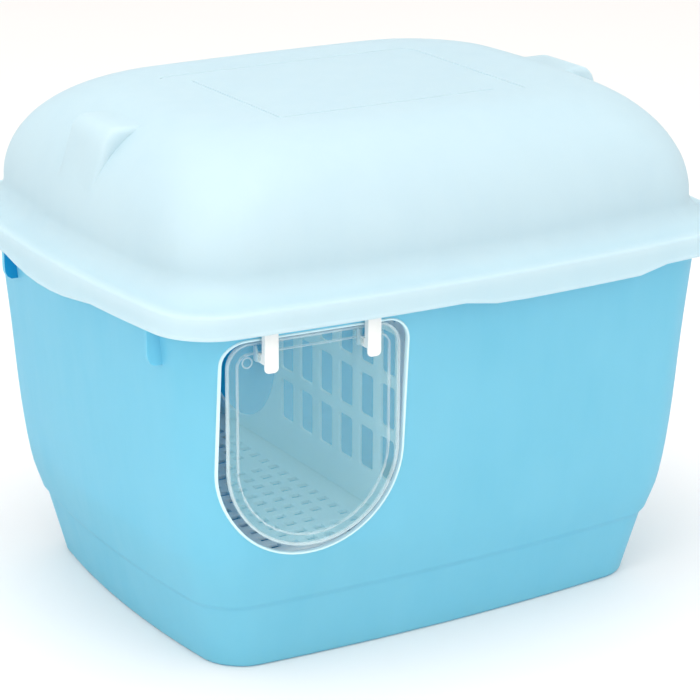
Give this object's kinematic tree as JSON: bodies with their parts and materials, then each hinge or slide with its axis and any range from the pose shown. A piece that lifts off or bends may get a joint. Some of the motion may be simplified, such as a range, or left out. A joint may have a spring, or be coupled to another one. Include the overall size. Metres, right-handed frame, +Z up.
{
  "type": "hooded cat litter box",
  "caption": "Large covered litter box: blue tub with a flap door at front left, pale lift-off hood, slotted walkway and lattice partition inside.",
  "frame": {"origin": "on the floor, under the middle of the base", "axes": "+X to the box's right, +Y to its back, +Z up; the doorway is in the front wall, at -Y, left of the middle"},
  "size_m": [0.6, 0.4964, 0.4564],
  "materials": {
    "tub_plastic": "satin moulded polypropylene, sky blue",
    "hood_plastic": "satin moulded polypropylene, very pale aqua",
    "insert_plastic": "satin moulded polypropylene, pale aqua",
    "flap_plastic": "translucent milky polypropylene sheet, glossy",
    "hook_plastic": "white moulded plastic"
  },
  "bodies": {
    "box": {"tub": "tub_plastic", "walkway_floor": "insert_plastic", "partition_screen": "insert_plastic", "door_hook_left": "hook_plastic", "door_hook_right": "hook_plastic"},
    "cover": {"hood": "hood_plastic"},
    "flap": {"door_flap": "flap_plastic"}
  },
  "joints": [
    {"name": "hood_lift", "type": "slide", "parent": "box", "child": "cover", "axis": [0, 0, 1], "range_m": [0, 0.35]},
    {"name": "flap_swing", "type": "hinge", "parent": "box", "child": "flap", "pos_m": [-0.15065, -0.21342, 0.293], "axis": [0.9984, -0.0558, 0], "range_deg": [-42, 42]}
  ]
}
